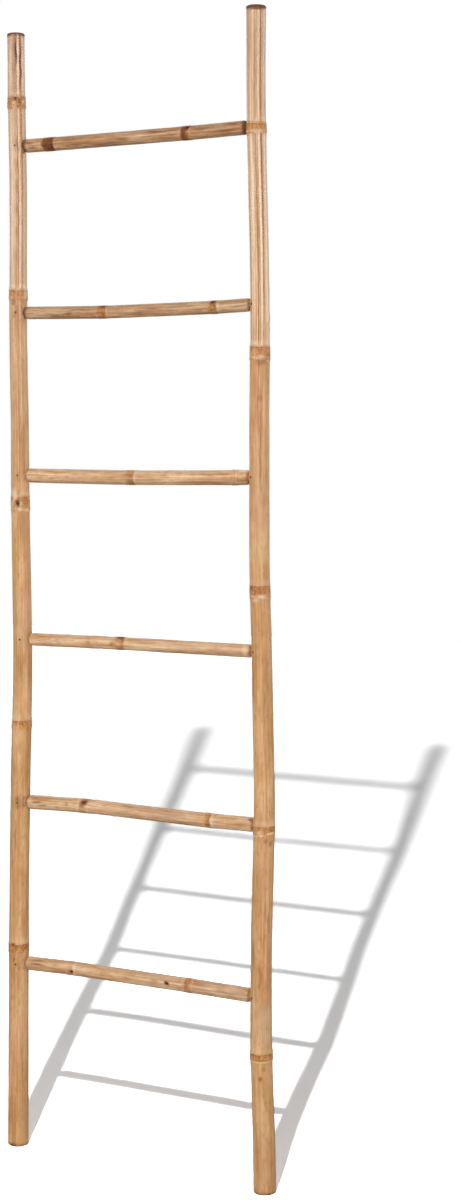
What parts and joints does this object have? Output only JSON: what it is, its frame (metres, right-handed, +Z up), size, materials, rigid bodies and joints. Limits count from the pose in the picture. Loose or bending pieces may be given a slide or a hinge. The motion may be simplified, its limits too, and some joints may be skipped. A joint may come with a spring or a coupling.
{
  "type": "towel ladder",
  "caption": "Leaning ladder of slim bamboo poles joined by nailed bamboo rungs that towels hang over, with open gaps between the rungs.",
  "frame": {"origin": "on the floor, midway between the two poles", "axes": "+X to the pole on the viewer's right, +Y to the wall that the ladder leans on, +Z up along the poles; the ladder is modelled upright"},
  "size_m": [0.5083, 0.0388, 1.905],
  "materials": {
    "pole_bamboo": "satin varnished bamboo",
    "rung_bamboo": "satin varnished bamboo",
    "nail_steel": "darkened steel"
  },
  "bodies": {
    "root": {"left_pole": "pole_bamboo", "right_pole": "pole_bamboo", "rung_1": "rung_bamboo", "rung_2": "rung_bamboo", "rung_3": "rung_bamboo", "rung_4": "rung_bamboo", "rung_5": "rung_bamboo", "rung_6": "rung_bamboo", "nail_left_1": "nail_steel", "nail_right_1": "nail_steel", "nail_left_2": "nail_steel", "nail_right_2": "nail_steel", "nail_left_3": "nail_steel", "nail_right_3": "nail_steel", "nail_left_4": "nail_steel", "nail_right_4": "nail_steel", "nail_left_5": "nail_steel", "nail_right_5": "nail_steel", "nail_left_6": "nail_steel", "nail_right_6": "nail_steel"}
  },
  "joints": []
}
